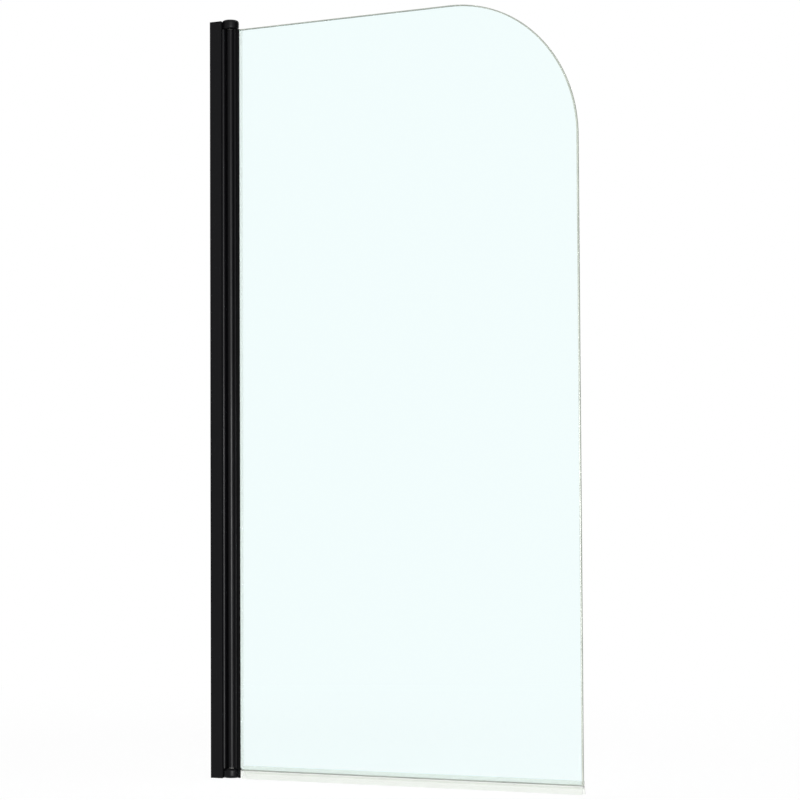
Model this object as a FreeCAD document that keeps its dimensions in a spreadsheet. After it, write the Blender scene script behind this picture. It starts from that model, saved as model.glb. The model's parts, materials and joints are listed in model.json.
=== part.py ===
import FreeCAD, Part
import os
import re

import Sketcher

# Pivoting bath screen: one sheet of 6 mm glass in a black aluminium hinge profile that turns on two
# pins, held by a post that slides in a wall channel. Millimetres. X runs from the wall along the
# closed glass, Y from the bather's side (-Y) to the far side (+Y), Z up from the bath rim.

SIZES = {
    # Overall
    "screen_width": 750,        # wall to the free edge of the glass
    "channel_length": 1400,     # bath rim to the top of the wall channel
    # Glass
    "glass_thickness": 6,
    "glass_foot": 14,           # bottom edge above the bath rim
    "glass_drop": 16.3,         # top edge below the top of the channel
    "corner_radius": 250,       # rounded top corner
    "edge_arris": 0.6,          # small bevel round the polished edge
    "hinge_corner_cut": 12,     # bottom hinge corner, cut off to pass the pivot cap
    # Wall channel
    "channel_width": 30,
    "channel_depth": 25.5,
    "channel_wall": 1.5,
    "channel_web": 1.8,
    "channel_corner": 0.8,
    "wall_hole": 5.5,
    "wall_hole_inset": 100,
    "wall_hole_count": 4,
    # Post that carries the pivots
    "post_slip": 0.6,           # gap between the post and each flange of the channel
    "post_wall": 2,
    "post_tail": 9,             # wall to the open edge of the post, clear of the wall screws
    "nose_reach": 4.5,          # post beyond the mouth of the channel
    "nose_radius": 4,
    "nose_web": 3,
    "seat_gap": 0.5,            # hollow of the nose to the barrel
    "port_diameter": 8,         # screw port that takes the cap screws
    "port_inset": 10.5,
    "port_rib": 2,
    # Seals of the post
    "side_seal_width": 3,
    "side_seal_inset": 4.5,
    "seal_groove": 0.8,
    "nose_seal_width": 4,
    "nose_seal_root": 1.5,
    "nose_seal_gap": 0.3,
    # Screws that lock the post in the channel
    "lock_screw": 4.2,
    "lock_screw_clearance": 0.4,
    "lock_screw_length": 9,
    "lock_screw_reach": 14,     # wall to the axis of the screws
    "lock_screw_inset": 150,
    "lock_screw_count": 3,
    "lock_head_diameter": 7.5,
    "lock_head_height": 2.2,
    "cover_diameter": 11,
    "cover_crown": 8.6,         # diameter of the flat top of a cover
    "cover_height": 3.4,
    "cover_slip": 0.2,
    # Pivot caps
    "cap_diameter": 31.4,
    "cap_height": 17.5,
    "cap_edge": 5,              # radius of the rounded edges
    "cap_rise": 2.2,            # top cap above the top of the channel
    "cap_lift": 0.5,            # bottom cap above the bath rim
    "cap_slip": 0.3,            # tongue to each flange of the channel
    "cap_wall_gap": 3,
    "tongue_inset": 0.5,        # tongue of the top cap below the top of the channel
    "leg_length": 12,
    "leg_width": 4.5,
    "leg_slip": 0.2,
    "leg_tail": 2,
    "cap_screw": 4,
    "cap_screw_clearance": 0.5,
    "cap_screw_length": 24,
    "cap_screw_head": 8,
    "socket_flats": 2.5,
    "socket_depth": 2,
    # Pins and bushes
    "pin_diameter": 6,
    "pin_seat": 12,             # length of pin held in a cap
    "pin_engaged": 12,          # length of pin in a bush
    "pin_bevel": 0.6,
    "pin_running_gap": 0.05,
    "bush_length": 14,
    "bush_flange": 12.6,
    "flange_thickness": 1,
    "flange_proud": 0.3,
    "thrust_gap": 0.1,
    # Hinge profile
    "barrel_diameter": 15,
    "barrel_bore": 9,
    "bore_wall": 3.6,
    "glazing_wall": 1.8,
    "glazing_reach": 15.2,      # pivot axis to the mouth of the glazing slot
    "neck_width": 6.8,          # between the barrel and the arms
    "neck_reach": 6.2,
    "lip_swell": 1,             # how far a lip stands out beyond the slim part of its arm
    "lip_flat": 3.6,
    "lip_radius": 0.6,
    "swing_gap": 0.5,           # profile to the nose when the screen is turned square
    # Gaskets and setting blocks
    "gasket_thickness": 1.2,
    "gasket_bead": 0.6,
    "bead_inset": 2.5,          # mouth of the slot to the bead
    "bead_width": 2,
    "bead_slip": 0.1,
    "gasket_edge_gap": 0.4,
    "flap_thickness": 1,
    "flap_width": 11,           # clear strip beside the profile
    "flap_foot": 1,
    "flap_cap_gap": 0.8,
    "block_thickness": 1.5,
    "block_length": 40,
    "block_inset": 60,
    "block_count": 3,
    # Bottom seal
    "seal_gap": 0.8,            # gasket to the start of the seal
    "clip_wall": 1,
    "clip_height": 9.5,
    "clip_web": 1.4,
    "blade_thickness": 0.9,
    "blade_spread": 7.2,
    "blade_bend": 30,           # radius that turns a blade outwards
    "blade_root_radius": 1,
    "clip_lead": 0.5,           # bevel that lets the clip start on the glass
    "drip_rib_width": 1,
    "drip_rib_depth": 3.5,
}

# Places worked out from the sizes
CAP_TOP = "(channel_length + cap_rise)"
TONGUE_TOP = "(channel_length - tongue_inset)"
LOCK_SPACING = "((channel_length - 2 * lock_screw_inset) / (lock_screw_count - 1))"
CHANNEL_INSIDE = "(channel_width / 2 - channel_wall)"
NOSE = "(channel_depth + nose_reach)"
GLAZING_HALF = "(glass_thickness / 2 + gasket_thickness + glazing_wall)"
AXIS = f"({NOSE} + swing_gap + {GLAZING_HALF})"
SEAT_BACK = f"({AXIS} - barrel_diameter / 2 - seat_gap)"
WEB_BACK = f"({SEAT_BACK} - nose_web)"
PORT = f"({WEB_BACK} - port_inset)"
POST_HALF = f"({CHANNEL_INSIDE} - post_slip)"
POST_CAVITY_HALF = f"({POST_HALF} - post_wall)"
POST_BOTTOM = "(cap_lift + cap_height)"
POST_TOP = f"({CAP_TOP} - cap_height)"
PROFILE_BOTTOM = f"({POST_BOTTOM} + thrust_gap + flange_proud)"
PROFILE_TOP = f"({POST_TOP} - thrust_gap - flange_proud)"
COUNTERBORE = "(flange_thickness - flange_proud)"
SLOT_FLOOR = f"({AXIS} + barrel_bore / 2 + bore_wall)"
SLOT_HALF = "(glass_thickness / 2 + gasket_thickness)"
MOUTH = f"({AXIS} + glazing_reach)"
GLASS_EDGE = f"({SLOT_FLOOR} + block_thickness)"
GLASS_TOP = "(channel_length - glass_drop)"
FLAP_END = f"({MOUTH} + flap_width)"
SEAL_START = f"({FLAP_END} + seal_gap)"

# A round edge of a cap is turned as this many narrow flats, each touching a circle of the edge's radius
EDGE_FLATS = 3

doc = FreeCAD.newDocument("bath_screen")
sheet = doc.addObject("Spreadsheet::Sheet", "Sizes")
for row, (alias, number) in enumerate(SIZES.items(), start=1):
    sheet.set(f"A{row}", alias)
    sheet.set(f"B{row}", str(number))
    sheet.setAlias(f"B{row}", alias)
doc.recompute()


def value(text):
    """The number that a formula in the sheet's names gives."""
    return float(sheet.evalExpression(text))


def bind(thing, name, text):
    """Tie one property to a formula in the sheet's names."""
    thing.setExpression(name, re.sub(r"\b[a-z]+_[a-z_]+\b", r"Sizes.\g<0>", text))


def new_body(label):
    body = doc.addObject("PartDesign::Body", label)
    body.Label = label
    return body


def new_sketch(body, name, plane, height="0"):
    """An empty sketch on one of the body's own planes, moved along that plane's normal."""
    sketch = body.newObject("Sketcher::SketchObject", f"{body.Name}_{name}_sketch")
    base = next(item for item in body.Origin.OriginFeatures if item.Role == plane)
    sketch.AttachmentSupport = [(base, "")]
    sketch.MapMode = "FlatFace"
    bind(sketch, "AttachmentOffset.Base.z", height)
    return sketch


def tie_point(sketch, geometry, point, place):
    """Hold one point of a sketch at the two formulas of its place."""
    for kind, text in zip(("DistanceX", "DistanceY"), place):
        index = sketch.addConstraint(Sketcher.Constraint(kind, -1, 1, geometry, point, value(text)))
        bind(sketch, f"Constraints[{index}]", text)


def draw_outline(sketch, corners):
    """A closed outline of straight lines through the corners."""
    first = sketch.GeometryCount
    count = len(corners)
    points = [FreeCAD.Vector(value(across), value(along), 0) for across, along in corners]
    for number, point in enumerate(points):
        sketch.addGeometry(Part.LineSegment(point, points[(number + 1) % count]))
    for number, corner in enumerate(corners):
        before = first + (number - 1) % count
        sketch.addConstraint(Sketcher.Constraint("Coincident", before, 2, first + number, 1))
        tie_point(sketch, first + number, 1, corner)


def draw_box(sketch, across, along):
    """A rectangle between two formulas each way."""
    corners = [(across[0], along[0]), (across[1], along[0]), (across[1], along[1]), (across[0], along[1])]
    draw_outline(sketch, corners)


def draw_circle(sketch, centre, diameter):
    middle = FreeCAD.Vector(value(centre[0]), value(centre[1]), 0)
    up = FreeCAD.Vector(0, 0, 1)
    index = sketch.addGeometry(Part.Circle(middle, up, value(diameter) / 2))
    tie_point(sketch, index, 3, centre)
    size = sketch.addConstraint(Sketcher.Constraint("Diameter", index, value(diameter)))
    bind(sketch, f"Constraints[{size}]", diameter)


def pad(body, name, sketch, length, reverse=False, both=False):
    feature = body.newObject("PartDesign::Pad", f"{body.Name}_{name}")
    feature.Profile = sketch
    feature.Reversed = reverse
    if both:
        feature.SideType = "Symmetric"
    bind(feature, "Length", length)
    doc.recompute()
    return feature


def revolve(body, name, sketch):
    """A full turn of a half section about the sketch's own upright axis."""
    feature = body.newObject("PartDesign::Revolution", f"{body.Name}_{name}")
    feature.Profile = sketch
    feature.ReferenceAxis = (sketch, ["V_Axis"])
    doc.recompute()
    return feature


def pocket(body, name, sketch, length=None, reverse=False):
    """A cut of the given length, or right through both ways; one that removes nothing is an error."""
    before = body.Shape.Volume
    feature = body.newObject("PartDesign::Pocket", f"{body.Name}_{name}")
    feature.Profile = sketch
    feature.Reversed = reverse
    if length is None:
        feature.Type = "ThroughAll"
        feature.SideType = "Symmetric"
    else:
        bind(feature, "Length", length)
    doc.recompute()
    if body.Shape.Volume > before - 1e-6:
        raise RuntimeError(f"{feature.Name} removes nothing")
    return feature


def edge_names(body, wanted):
    """Names of the edges of the body's last feature that pass a test."""
    names = [f"Edge{number}" for number, edge in enumerate(body.Tip.Shape.Edges, start=1) if wanted(edge)]
    if not names:
        raise RuntimeError(f"{body.Name} has no such edge")
    return names


def dress(body, kind, name, size, wanted):
    """A fillet or chamfer of the chosen edges of the body as it stands."""
    last = body.Tip
    names = edge_names(body, wanted)
    feature = body.newObject(f"PartDesign::{kind}", f"{body.Name}_{name}")
    feature.Base = (last, names)
    bind(feature, "Radius" if kind == "Fillet" else "Size", size)
    doc.recompute()
    return feature


def repeat_up(body, name, feature, count, spacing):
    """Copies of a feature up the height of the body."""
    pattern = body.newObject("PartDesign::LinearPattern", f"{body.Name}_{name}")
    pattern.Originals = [feature]
    vertical = next(item for item in body.Origin.OriginFeatures if item.Role == "Z_Axis")
    pattern.Direction = (vertical, [""])
    pattern.Mode = "Spacing"
    bind(pattern, "Offset", spacing)
    bind(pattern, "Occurrences", count)
    body.Tip = pattern
    doc.recompute()
    return pattern


def close(one, other):
    return abs(one - other) < 1e-4


def upright(edge):
    """True for a straight edge along Z."""
    ends = edge.Vertexes
    return len(ends) == 2 and close(ends[0].X, ends[1].X) and close(ends[0].Y, ends[1].Y)


def wall_channel():
    """U-shaped extrusion, screwed to the wall through its web."""
    body = new_body("wall_channel")
    outside, inside = "channel_width / 2", CHANNEL_INSIDE
    corners = [("0", f"-{outside}"), ("channel_depth", f"-{outside}")]
    corners += [("channel_depth", f"-{inside}"), ("channel_web", f"-{inside}")]
    corners += [(across, along[1:]) for across, along in reversed(corners)]
    section = new_sketch(body, "section", "XY_Plane")
    draw_outline(section, corners)
    pad(body, "extrusion", section, "channel_length")
    dress(body, "Fillet", "corners", "channel_corner", lambda edge: upright(edge) and close(
        edge.Vertexes[0].X, 0) and close(abs(edge.Vertexes[0].Y), value(outside)))
    wall_holes = new_sketch(body, "wall_hole", "YZ_Plane")
    draw_circle(wall_holes, ("0", "wall_hole_inset"), "wall_hole")
    hole = pocket(body, "wall_hole", wall_holes, "channel_web", reverse=True)
    spacing = "(channel_length - 2 * wall_hole_inset) / (wall_hole_count - 1)"
    repeat_up(body, "wall_holes", hole, "wall_hole_count", spacing)
    lock_holes(body, "channel_width / 2", "channel_wall", "lock_screw + lock_screw_clearance")
    return body


def pivot_post():
    """Extrusion between the caps: open towards the wall, with a rounded nose hollowed for the barrel."""
    body = new_body("pivot_post")
    section = new_sketch(body, "section", "XY_Plane", POST_BOTTOM)
    draw_box(section, ("post_tail", NOSE), (f"-{POST_HALF}", POST_HALF))
    length = f"{POST_TOP} - {POST_BOTTOM}"
    pad(body, "extrusion", section, length)
    dress(body, "Fillet", "nose", "nose_radius", lambda edge: upright(edge) and close(
        edge.Vertexes[0].X, value(NOSE)))
    cavity = new_sketch(body, "cavity", "XY_Plane")
    draw_box(cavity, ("0", WEB_BACK), (f"-{POST_CAVITY_HALF}", POST_CAVITY_HALF))
    pocket(body, "cavity", cavity)
    seat = new_sketch(body, "seat", "XY_Plane")
    draw_circle(seat, (AXIS, "0"), "barrel_diameter + 2 * seat_gap")
    pocket(body, "seat", seat)
    grooves = new_sketch(body, "grooves", "XY_Plane")
    front = f"{WEB_BACK} - side_seal_inset + side_seal_width"
    back = f"{WEB_BACK} - side_seal_inset"
    for sign in ("-", "+"):
        floor = f"{sign}({POST_HALF} - seal_groove)"
        draw_box(grooves, (back, front), (floor, f"{sign}{CHANNEL_INSIDE}"))
    root = f"{SEAT_BACK} - nose_seal_root"
    draw_box(grooves, (root, NOSE), ("-nose_seal_width / 2", "nose_seal_width / 2"))
    pocket(body, "grooves", grooves)
    port = new_sketch(body, "port", "XY_Plane", POST_BOTTOM)
    draw_circle(port, (PORT, "0"), "port_diameter")
    pad(body, "port", port, length)
    rib = new_sketch(body, "rib", "XY_Plane", POST_BOTTOM)
    draw_box(rib, (PORT, WEB_BACK), ("-port_rib / 2", "port_rib / 2"))
    pad(body, "rib", rib, length)
    bore = new_sketch(body, "port_bore", "XY_Plane")
    draw_circle(bore, (PORT, "0"), "cap_screw")
    pocket(body, "port_bore", bore)
    lock_holes(body, POST_HALF, "post_wall", "lock_screw")
    return body


def lock_holes(body, face, wall, diameter):
    """The row of holes for the locking screws through the wall on the far side."""
    holes = new_sketch(body, "lock_hole", "XZ_Plane", f"-({face})")
    draw_circle(holes, ("lock_screw_reach", "lock_screw_inset"), diameter)
    hole = pocket(body, "lock_hole", holes, wall, reverse=True)
    repeat_up(body, "lock_holes", hole, "lock_screw_count", LOCK_SPACING)


def strip(label, across, along, bottom, top):
    """A plain rectangular strip cut to length."""
    body = new_body(label)
    section = new_sketch(body, "section", "XY_Plane", bottom)
    draw_box(section, across, along)
    pad(body, "strip", section, f"{top} - {bottom}")
    return body


def post_seals():
    """Wipers between the post and the channel, and the soft strip in the hollow of the nose."""
    across = (f"{WEB_BACK} - side_seal_inset", f"{WEB_BACK} - side_seal_inset + side_seal_width")
    for label, sign in (("front_post_seal", "-"), ("back_post_seal", "+")):
        along = (f"{sign}({POST_HALF} - seal_groove)", f"{sign}{CHANNEL_INSIDE}")
        strip(label, across, along, POST_BOTTOM, POST_TOP)
    tip = f"{AXIS} - barrel_diameter / 2 - nose_seal_gap"
    across = (f"{SEAT_BACK} - nose_seal_root", tip)
    strip("nose_seal", across, ("-nose_seal_width / 2", "nose_seal_width / 2"), POST_BOTTOM, POST_TOP)


def pivot_cap(label, inner, end, tongue_end, top):
    """Round cap that carries a pin, with a tongue that closes the channel over the post's end."""
    body = new_body(label)
    low, high = (inner, end) if top else (end, inner)
    foot, crown = [], []
    flat = 90 / (EDGE_FLATS + 1)
    reach = f"cap_edge / cos({flat / 2})"
    for number in range(EDGE_FLATS + 1):
        angle = (number + 0.5) * flat
        across = f"(cap_diameter / 2 - cap_edge + {reach} * cos({angle}))"
        depth = f"(cap_edge - {reach} * sin({angle}))"
        foot.insert(0, (across, f"({low} + {depth})"))
        crown.append((across, f"({high} - {depth})"))
    disc = new_sketch(body, "disc", "XZ_Plane")
    bind(disc, "AttachmentOffset.Base.x", AXIS)
    draw_outline(disc, [("0", low)] + foot + crown + [("0", high)])
    revolve(body, "disc", disc)
    tongue = new_sketch(body, "tongue", "XY_Plane", inner)
    half = f"({CHANNEL_INSIDE} - cap_slip)"
    draw_box(tongue, ("cap_wall_gap", "channel_depth"), (f"-{half}", half))
    pad(body, "tongue", tongue, f"abs({tongue_end} - {inner})", reverse=not top)
    legs = new_sketch(body, "legs", "XY_Plane", inner)
    for sign in ("-", "+"):
        outside = f"{sign}({POST_CAVITY_HALF} - leg_slip)"
        inside = f"{sign}({POST_CAVITY_HALF} - leg_slip - leg_width)"
        draw_box(legs, ("post_tail + leg_tail", f"{WEB_BACK} - leg_slip"), (inside, outside))
    pad(body, "legs", legs, "leg_length", reverse=top)
    socket = new_sketch(body, "pin_socket", "XY_Plane", inner)
    draw_circle(socket, (AXIS, "0"), "pin_diameter")
    pocket(body, "pin_socket", socket, "pin_seat", reverse=top)
    screw = new_sketch(body, "screw_hole", "XY_Plane", inner)
    draw_circle(screw, (PORT, "0"), "cap_screw + cap_screw_clearance")
    pocket(body, "screw_hole", screw, f"abs({end} - {inner})", reverse=top)
    sink = "(cap_screw_head - cap_screw - cap_screw_clearance) / 2"
    dress(body, "Chamfer", "countersink", sink, lambda edge: len(edge.Vertexes) == 1 and close(
        edge.Curve.Center.x, value(PORT)) and close(edge.Curve.Center.z, value(tongue_end)))
    return body


def pivot_pin(label, inner, top):
    """Round pin from its socket in the cap into the bush of the profile."""
    body = new_body(label)
    into_bush, into_cap = ("-", "+") if top else ("+", "-")
    start = f"{inner} {into_bush} pin_engaged"
    section = new_sketch(body, "section", "XY_Plane", start)
    draw_circle(section, (AXIS, "0"), "pin_diameter")
    pad(body, "shank", section, "pin_engaged + pin_seat", reverse=into_cap == "-")
    dress(body, "Chamfer", "ends", "pin_bevel", lambda edge: len(edge.Vertexes) == 1)
    return body


def cylinder(name, places, radius, height):
    """An upright cylinder; places are the formulas of its foot."""
    item = doc.addObject("Part::Cylinder", name)
    bind(item, "Radius", radius)
    bind(item, "Height", height)
    for letter, text in zip("xyz", places):
        bind(item, f"Placement.Base.{letter}", text)
    return item


def pivot_bush(label, end, top):
    """Flanged bush pressed into the end of the barrel."""
    down = "-" if top else "+"
    middle = "0"
    lower_sleeve = f"{end} - bush_length" if top else end
    lower_flange = f"{end} - {COUNTERBORE}" if top else f"{end} - flange_proud"
    sleeve = cylinder(f"{label}_sleeve", (AXIS, middle, lower_sleeve), "barrel_bore / 2", "bush_length")
    flange = cylinder(f"{label}_flange", (AXIS, middle, lower_flange), "bush_flange / 2", "flange_thickness")
    solid = doc.addObject("Part::MultiFuse", f"{label}_solid")
    solid.Shapes = [sleeve, flange]
    start = f"{end} {down} bush_length" if top else f"{end} - flange_proud"
    bore = cylinder(f"{label}_bore", (AXIS, middle, start), "pin_diameter / 2 + pin_running_gap",
                    "bush_length + flange_proud")
    bush = doc.addObject("Part::Cut", label)
    bush.Label = label
    bush.Base, bush.Tool = solid, bore
    return bush


def group(label, items):
    """Like pieces that share one node."""
    compound = doc.addObject("Part::Compound", label)
    compound.Label = label
    compound.Links = items
    return compound


def cap_screw(label, head_end, top):
    """Countersunk screw through a cap into the post's screw port."""
    middle = "0"
    cone_height = "(cap_screw_head - cap_screw) / 2"
    foot = f"{head_end} - cap_screw_length" if top else head_end
    shank = cylinder(f"{label}_shank", (PORT, middle, foot), "cap_screw / 2", "cap_screw_length")
    head = doc.addObject("Part::Cone", f"{label}_head")
    bind(head, "Radius1", "cap_screw / 2" if top else "cap_screw_head / 2")
    bind(head, "Radius2", "cap_screw_head / 2" if top else "cap_screw / 2")
    bind(head, "Height", cone_height)
    bind(head, "Placement.Base.x", PORT)
    bind(head, "Placement.Base.z", f"{head_end} - {cone_height}" if top else head_end)
    solid = doc.addObject("Part::MultiFuse", f"{label}_solid")
    solid.Shapes = [shank, head]
    socket = doc.addObject("Part::Prism", f"{label}_socket")
    socket.Polygon = 6
    bind(socket, "Circumradius", "socket_flats / 2 / cos(30)")
    bind(socket, "Height", "socket_depth")
    bind(socket, "Placement.Base.x", PORT)
    bind(socket, "Placement.Base.z", f"{head_end} - socket_depth" if top else head_end)
    screw = doc.addObject("Part::Cut", label)
    screw.Label = label
    screw.Base, screw.Tool = solid, socket
    return screw


def lock_screws():
    """Screws through the far flange of the channel into the post, each under a snap-on cover."""
    sideways = FreeCAD.Rotation(FreeCAD.Vector(1, 0, 0), -90)
    face = "channel_width / 2"
    screws, covers = [], []

    def turned(item, along, level):
        item.Placement.Rotation = sideways
        bind(item, "Placement.Base.x", "lock_screw_reach")
        bind(item, "Placement.Base.y", along)
        bind(item, "Placement.Base.z", level)
        return item

    for number in range(int(value("lock_screw_count"))):
        level = f"lock_screw_inset + {number} * {LOCK_SPACING}"
        shank = doc.addObject("Part::Cylinder", f"lock_shank_{number}")
        bind(shank, "Radius", "lock_screw / 2")
        bind(shank, "Height", "lock_screw_length")
        head = doc.addObject("Part::Cylinder", f"lock_head_{number}")
        bind(head, "Radius", "lock_head_diameter / 2")
        bind(head, "Height", "lock_head_height")
        screw = doc.addObject("Part::MultiFuse", f"lock_screw_{number}")
        screw.Shapes = [turned(shank, f"{face} - lock_screw_length", level), turned(head, face, level)]
        screws.append(screw)
        crown = doc.addObject("Part::Cone", f"cover_crown_{number}")
        bind(crown, "Radius1", "cover_diameter / 2")
        bind(crown, "Radius2", "cover_crown / 2")
        bind(crown, "Height", "cover_height")
        hollow = doc.addObject("Part::Cylinder", f"cover_hollow_{number}")
        bind(hollow, "Radius", "lock_head_diameter / 2 + cover_slip")
        bind(hollow, "Height", "lock_head_height + cover_slip")
        cover = doc.addObject("Part::Cut", f"cover_{number}")
        cover.Base, cover.Tool = turned(crown, face, level), turned(hollow, face, level)
        covers.append(cover)
    group("lock_screws", screws)
    group("lock_screw_covers", covers)


def hinge_profile():
    """Extrusion that turns with the glass: a barrel on the pivot axis, and arms that widen to two lips
    and grip the glass. The arms stay as slim as the nose needs while the screen is turned square."""
    body = new_body("hinge_profile")
    length = f"{PROFILE_TOP} - {PROFILE_BOTTOM}"
    barrel = new_sketch(body, "barrel", "XY_Plane", PROFILE_BOTTOM)
    draw_circle(barrel, (AXIS, "0"), "barrel_diameter")
    pad(body, "barrel", barrel, length)
    arm = new_sketch(body, "arm", "XY_Plane", PROFILE_BOTTOM)
    shoulder = f"({AXIS} + {POST_HALF} - nose_radius)"
    lip = f"({GLAZING_HALF} + lip_swell)"
    half = [(AXIS, "(neck_width / 2)"), (f"({AXIS} + neck_reach)", "(neck_width / 2)")]
    half += [(shoulder, GLAZING_HALF)]
    half += [(f"({MOUTH} - lip_flat)", lip), (MOUTH, lip)]
    draw_outline(arm, half + [(across, f"-{along}") for across, along in reversed(half)])
    pad(body, "arm", arm, length)
    dress(body, "Fillet", "lips", "lip_radius", lambda edge: upright(edge) and close(
        edge.Vertexes[0].X, value(MOUTH)))
    slot = new_sketch(body, "slot", "XY_Plane")
    draw_box(slot, (SLOT_FLOOR, "screen_width"), (f"-{SLOT_HALF}", SLOT_HALF))
    pocket(body, "slot", slot)
    grooves = new_sketch(body, "bead_grooves", "XY_Plane")
    bead = f"({MOUTH} - bead_inset)"
    depth = f"({SLOT_HALF} + gasket_bead)"
    draw_box(grooves, (f"{bead} - bead_width", bead), (f"-{depth}", depth))
    pocket(body, "bead_grooves", grooves)
    bore = new_sketch(body, "bore", "XY_Plane")
    draw_circle(bore, (AXIS, "0"), "barrel_bore")
    pocket(body, "bore", bore)
    for name, end, top in (("foot", PROFILE_BOTTOM, False), ("head", PROFILE_TOP, True)):
        counterbore = new_sketch(body, f"{name}_counterbore", "XY_Plane", end)
        draw_circle(counterbore, (AXIS, "0"), "bush_flange")
        pocket(body, f"{name}_counterbore", counterbore, COUNTERBORE, reverse=not top)
    return body


def glass_panel():
    """Glass sheet with one rounded top corner and a bevelled, polished edge."""
    body = new_body("glass_panel")
    outline = new_sketch(body, "outline", "XZ_Plane")
    corners = [(GLASS_EDGE, "glass_foot + hinge_corner_cut"), (f"{GLASS_EDGE} + hinge_corner_cut", "glass_foot")]
    corners += [("screen_width", "glass_foot"), ("screen_width", GLASS_TOP), (GLASS_EDGE, GLASS_TOP)]
    draw_outline(outline, corners)
    pad(body, "sheet", outline, "glass_thickness", both=True)

    def free_top_corner(edge):
        start = edge.Vertexes[0]
        level = close(start.X, edge.Vertexes[-1].X) and close(start.Z, edge.Vertexes[-1].Z)
        return level and close(start.X, value("screen_width")) and close(start.Z, value(GLASS_TOP))

    dress(body, "Fillet", "round_corner", "corner_radius", free_top_corner)
    half = value("glass_thickness / 2")
    dress(body, "Chamfer", "arris", "edge_arris", lambda edge: all(
        close(abs(point.Y), half) for point in edge.Vertexes) and close(
        edge.Vertexes[0].Y, edge.Vertexes[-1].Y))
    return body


def setting_blocks():
    """Spacers between the edge of the glass and the floor of the slot."""
    spacing = "((channel_length - 2 * block_inset - block_length) / (block_count - 1))"
    blocks = []
    for number in range(int(value("block_count"))):
        block = doc.addObject("Part::Box", f"setting_block_{number}")
        bind(block, "Length", "block_thickness")
        bind(block, "Width", "glass_thickness")
        bind(block, "Height", "block_length")
        bind(block, "Placement.Base.x", SLOT_FLOOR)
        bind(block, "Placement.Base.y", "-glass_thickness / 2")
        bind(block, "Placement.Base.z", f"block_inset + {number} * {spacing}")
        blocks.append(block)
    group("setting_blocks", blocks)


def glazing_gasket(label, sign):
    """Clear strip between glass and slot that runs on as a flat flap beside the profile."""
    body = new_body(label)
    face, back, bead = "(glass_thickness / 2)", SLOT_HALF, f"({SLOT_HALF} + gasket_bead)"
    flap = f"({face} + flap_thickness)"
    start = f"({GLASS_EDGE} + gasket_edge_gap)"
    bead_front = f"({MOUTH} - bead_inset - bead_slip)"
    bead_back = f"({MOUTH} - bead_inset - bead_width + bead_slip)"
    corners = [(start, face), (FLAP_END, face), (FLAP_END, flap), (MOUTH, flap), (MOUTH, back)]
    corners += [(bead_front, back), (bead_front, bead), (bead_back, bead), (bead_back, back), (start, back)]
    section = new_sketch(body, "section", "XY_Plane", PROFILE_BOTTOM)
    draw_outline(section, [(across, sign + along) for across, along in corners])
    pad(body, "strip", section, f"{GLASS_TOP} - {PROFILE_BOTTOM}")
    skirt = new_sketch(body, "skirt", "XY_Plane", "flap_foot")
    skirt_start = f"{AXIS} + cap_diameter / 2 + flap_cap_gap"
    draw_box(skirt, (skirt_start, FLAP_END), (sign + face, sign + flap))
    pad(body, "skirt", skirt, f"{PROFILE_BOTTOM} - flap_foot")
    return body


def bottom_seal():
    """Clear seal: a clip on the glass's bottom edge, two splayed blades and a drip rib."""
    body = new_body("bottom_seal")
    face = "(glass_thickness / 2)"
    outside = f"({face} + clip_wall)"
    clip_top = "(glass_foot + clip_height)"
    web = "(glass_foot - clip_web)"
    rib = "(drip_rib_width / 2)"
    blade_root = f"({outside} - blade_thickness)"
    half = [(face, clip_top), (outside, clip_top), (outside, web), ("blade_spread", "0")]
    half += [("(blade_spread - blade_thickness)", "0"), (blade_root, web)]
    half += [(rib, web), (rib, f"({web} - drip_rib_depth)")]
    corners = [(face, "glass_foot")] + half
    mirrored = [(f"-{across}", along) for across, along in reversed(corners)]
    section = new_sketch(body, "section", "YZ_Plane", SEAL_START)
    draw_outline(section, corners + mirrored)
    pad(body, "strip", section, f"screen_width - {SEAL_START}")

    def lengthwise(edge, across, along):
        ends = edge.Vertexes
        level = close(ends[0].Y, ends[-1].Y) and close(ends[0].Z, ends[-1].Z)
        return level and close(abs(ends[0].Y), value(across)) and close(ends[0].Z, value(along))

    dress(body, "Fillet", "bends", "blade_bend", lambda edge: lengthwise(edge, outside, web))
    dress(body, "Fillet", "roots", "blade_root_radius", lambda edge: lengthwise(edge, blade_root, web))
    dress(body, "Chamfer", "lead", "clip_lead", lambda edge: lengthwise(edge, face, clip_top))
    return body


wall_channel()
pivot_post()
post_seals()
pivot_cap("bottom_pivot_cap", POST_BOTTOM, "cap_lift", "cap_lift", top=False)
pivot_cap("top_pivot_cap", POST_TOP, CAP_TOP, TONGUE_TOP, top=True)
pivot_pin("bottom_pivot_pin", POST_BOTTOM, top=False)
pivot_pin("top_pivot_pin", POST_TOP, top=True)
cap_screw("bottom_cap_screw", "cap_lift", top=False)
cap_screw("top_cap_screw", TONGUE_TOP, top=True)
lock_screws()
hinge_profile()
pivot_bush("bottom_pivot_bush", PROFILE_BOTTOM, top=False)
pivot_bush("top_pivot_bush", PROFILE_TOP, top=True)
glass_panel()
setting_blocks()
glazing_gasket("front_glazing_gasket", "-")
glazing_gasket("back_glazing_gasket", "+")
bottom_seal()
doc.recompute()

NODES = ["wall_channel", "pivot_post", "front_post_seal", "back_post_seal", "nose_seal", "bottom_pivot_cap",
         "top_pivot_cap", "bottom_pivot_pin", "top_pivot_pin", "bottom_cap_screw", "top_cap_screw",
         "lock_screws", "lock_screw_covers", "hinge_profile", "bottom_pivot_bush", "top_pivot_bush",
         "glass_panel", "setting_blocks", "front_glazing_gasket", "back_glazing_gasket", "bottom_seal"]

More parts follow.
